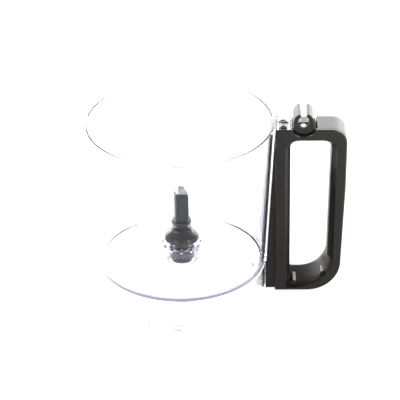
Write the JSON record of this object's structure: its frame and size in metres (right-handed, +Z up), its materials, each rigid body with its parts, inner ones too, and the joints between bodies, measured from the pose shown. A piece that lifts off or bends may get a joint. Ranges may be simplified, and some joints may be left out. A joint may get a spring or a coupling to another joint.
{
  "type": "food processor work bowl",
  "caption": "Clear work bowl of a food processor with a D-shaped black handle, a slotted cover hinge socket, a sealed drive spindle in its hub and a spring-loaded interlock rod.",
  "frame": {"origin": "on the bowl axis, in the plane of the foot that the bowl stands on", "axes": "+Z up along the bowl axis, +X towards the handle, -X towards the cover lug"},
  "size_m": [0.2486, 0.17, 0.1881],
  "materials": {
    "clear_plastic": "clear moulded polycarbonate, polished",
    "black_plastic": "black moulded plastic, glossy with a fine moulded grain",
    "sleeve_plastic": "black moulded plastic, satin",
    "grey_plastic": "dark grey moulded plastic",
    "seal_rubber": "black rubber, smooth",
    "steel": "turned stainless steel",
    "spring_steel": "spring steel",
    "zinc_screw": "bright zinc plate",
    "black_screw": "black oxide",
    "brass": "knurled brass",
    "bronze": "sintered bronze, oiled",
    "white_acetal": "natural acetal"
  },
  "bodies": {
    "bowl": {"bowl_shell": "clear_plastic", "hub_collar": "clear_plastic", "handle_body": "black_plastic", "handle_front_cover": "black_plastic", "hinge_socket": "black_plastic", "hinge_socket_screw": "zinc_screw", "flange_screw": "black_screw", "flange_insert": "brass", "foot_screws": "zinc_screw", "foot_inserts": "brass", "cover_screws": "black_screw", "lower_bushing": "bronze", "shaft_seal": "seal_rubber", "upper_bushing": "bronze", "upper_guide": "white_acetal", "lower_guide": "white_acetal"},
    "spindle": {"drive_shaft": "steel", "drive_sleeve": "sleeve_plastic", "spindle_seal": "seal_rubber", "drive_coupling": "grey_plastic", "coupling_pin": "steel", "thrust_washer": "white_acetal", "retaining_clip": "spring_steel"},
    "interlock": {"interlock_button": "grey_plastic", "interlock_rod": "steel", "interlock_foot": "white_acetal", "interlock_spring": "spring_steel", "spring_clip": "spring_steel"}
  },
  "joints": [
    {"name": "spindle_spin", "type": "hinge", "parent": "bowl", "child": "spindle", "pos_m": [0, 0, 0.05], "axis": [0, 0, 1], "continuous": true},
    {"name": "interlock_press", "type": "slide", "parent": "bowl", "child": "interlock", "axis": [0, 0, -1], "range_m": [0, 0.0045], "stiffness_N_per_m": 400, "springref_m": -0.004, "deforming": ["interlock_spring"]}
  ]
}
